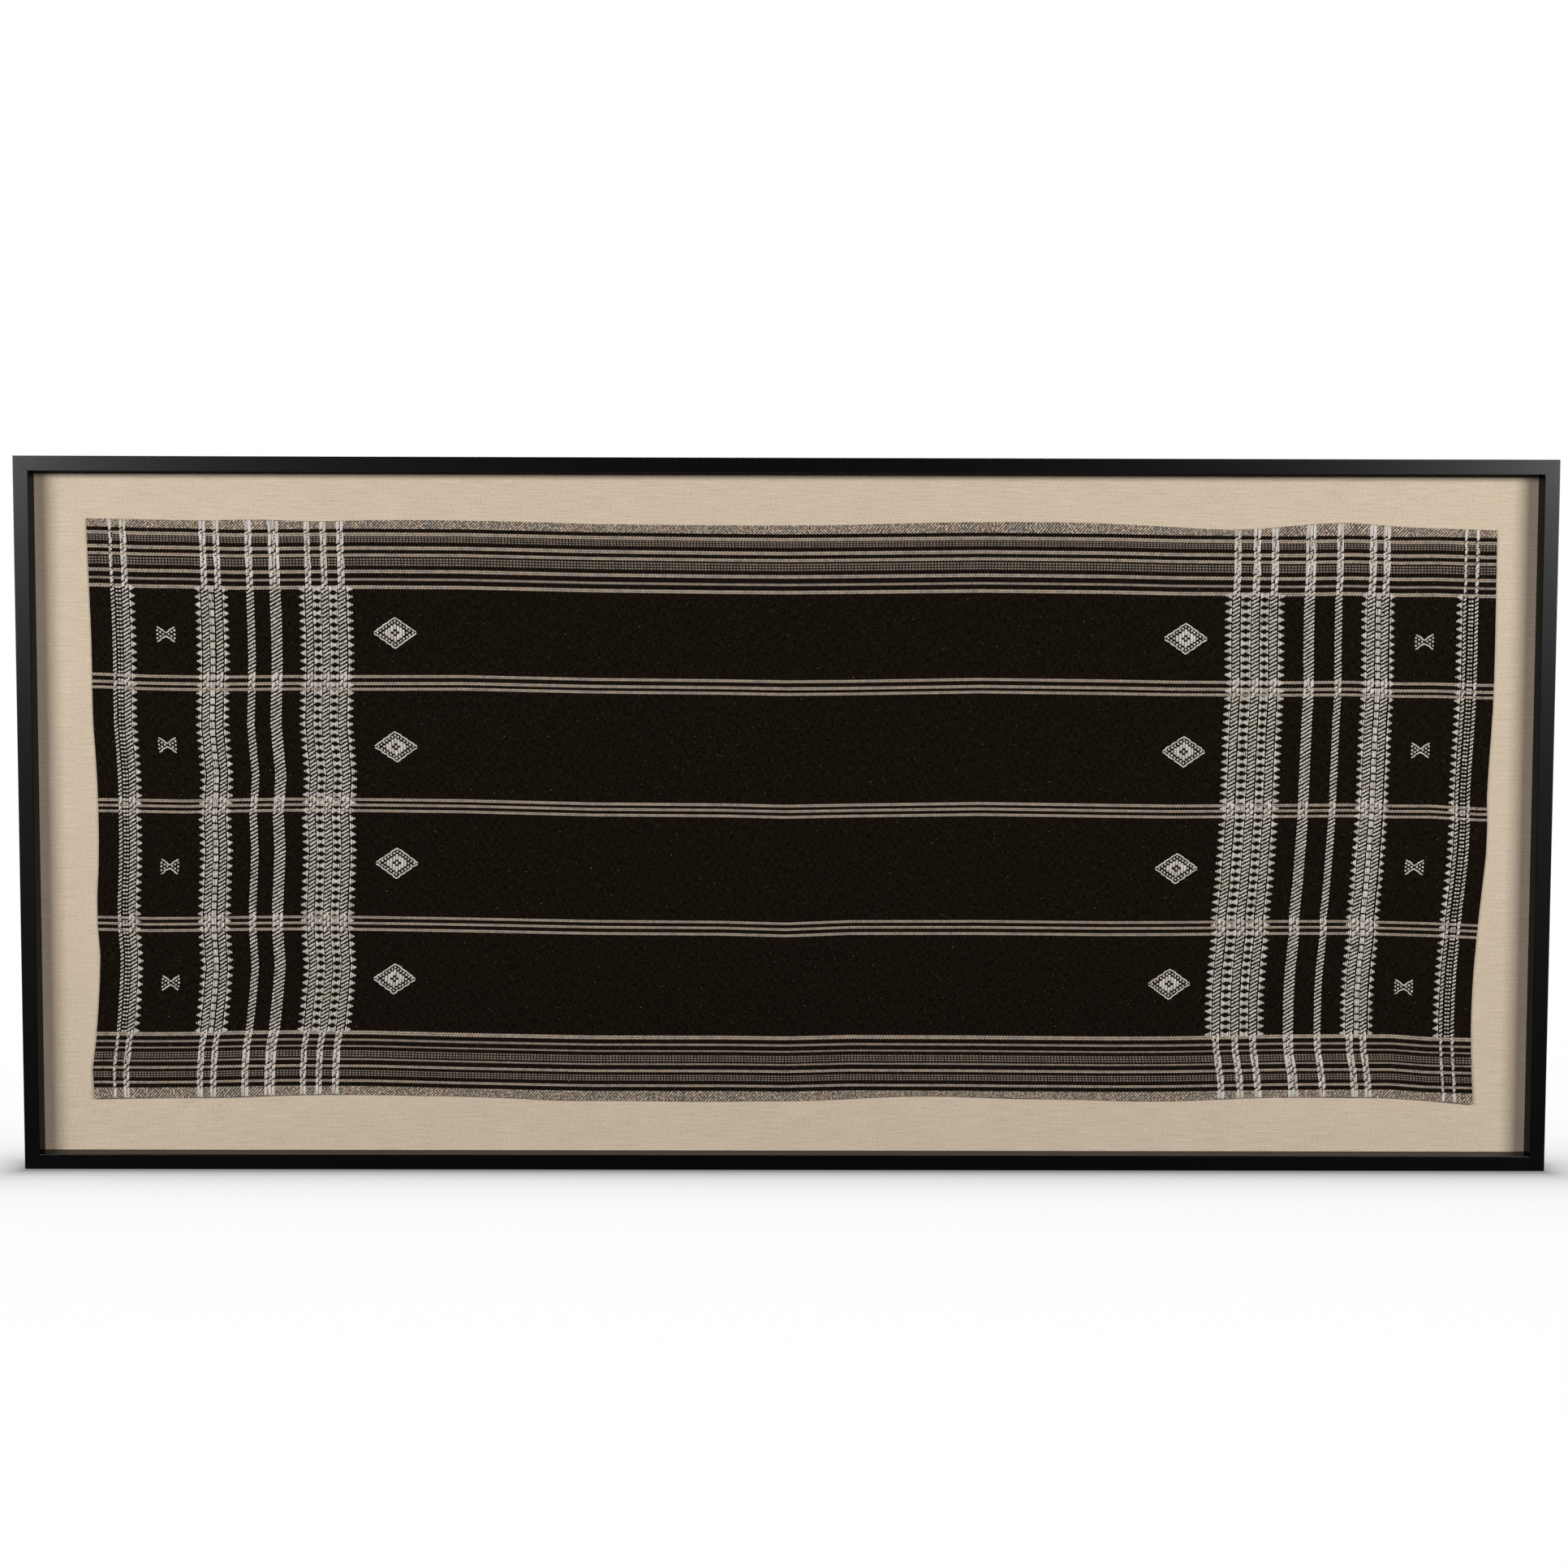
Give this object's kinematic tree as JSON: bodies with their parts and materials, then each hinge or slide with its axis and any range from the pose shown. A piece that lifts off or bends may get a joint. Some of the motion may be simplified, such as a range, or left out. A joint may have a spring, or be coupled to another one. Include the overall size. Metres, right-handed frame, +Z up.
{
  "type": "framed woven textile with its mitred picture frame",
  "caption": "Long dark woven cloth with cream stripes and patterned bands, stitched flat to linen inside a deep black frame that hangs on a wall.",
  "frame": {"origin": "the middle of the hanging cleat's back face, on the wall", "axes": "+X along the frame's length to the right as seen from the front, +Y into the wall, +Z up; the front faces -Y"},
  "size_m": [2.36, 0.057, 1.101],
  "materials": {
    "frame_lacquer": "satin black lacquer",
    "linen": "plain woven natural linen",
    "board": "sanded plywood",
    "cleat_wood": "planed",
    "dark_wool": "hand-woven wool",
    "cream_yarn": "thick pattern yarn"
  },
  "bodies": {
    "root": {"rail_top": "frame_lacquer", "rail_bottom": "frame_lacquer", "rail_left": "frame_lacquer", "rail_right": "frame_lacquer", "linen_cover": "linen", "backing_board": "board", "hanging_cleat": "cleat_wood", "textile": "dark_wool"}
  },
  "joints": []
}
